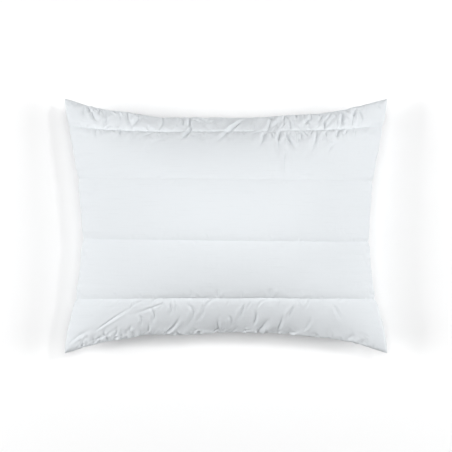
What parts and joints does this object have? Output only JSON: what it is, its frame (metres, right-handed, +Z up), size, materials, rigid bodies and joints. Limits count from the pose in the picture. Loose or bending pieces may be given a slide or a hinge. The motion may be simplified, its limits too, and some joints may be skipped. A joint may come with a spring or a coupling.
{
  "type": "bed pillow",
  "caption": "Soft white quilted bed pillow, rectangular and knife-edged, with puckered quilt lines across it and pointed corners.",
  "frame": {"origin": "on the ground under the middle of the pillow as it lies flat", "axes": "+X along the long edges, +Y from the front edge to the back edge, +Z up"},
  "size_m": [0.626, 0.495, 0.1654],
  "materials": {
    "cover_cotton": "matte",
    "wadding": "matte",
    "backing": "matte",
    "quilt_thread": "satin",
    "seam_thread": "satin",
    "fibre": "matte"
  },
  "bodies": {
    "root": {"upper_cover": "cover_cotton", "upper_wadding": "wadding", "upper_backing": "backing", "upper_quilt_stitch_1": "quilt_thread", "upper_quilt_stitch_2": "quilt_thread", "upper_quilt_stitch_3": "quilt_thread", "upper_quilt_stitch_4": "quilt_thread", "lower_cover": "cover_cotton", "lower_wadding": "wadding", "lower_backing": "backing", "lower_quilt_stitch_1": "quilt_thread", "lower_quilt_stitch_2": "quilt_thread", "lower_quilt_stitch_3": "quilt_thread", "lower_quilt_stitch_4": "quilt_thread", "left_edge_seam": "seam_thread", "right_edge_seam": "seam_thread", "front_edge_seam": "seam_thread", "back_edge_seam": "seam_thread", "closing_seam": "seam_thread", "fibre_fill": "fibre"}
  },
  "joints": []
}
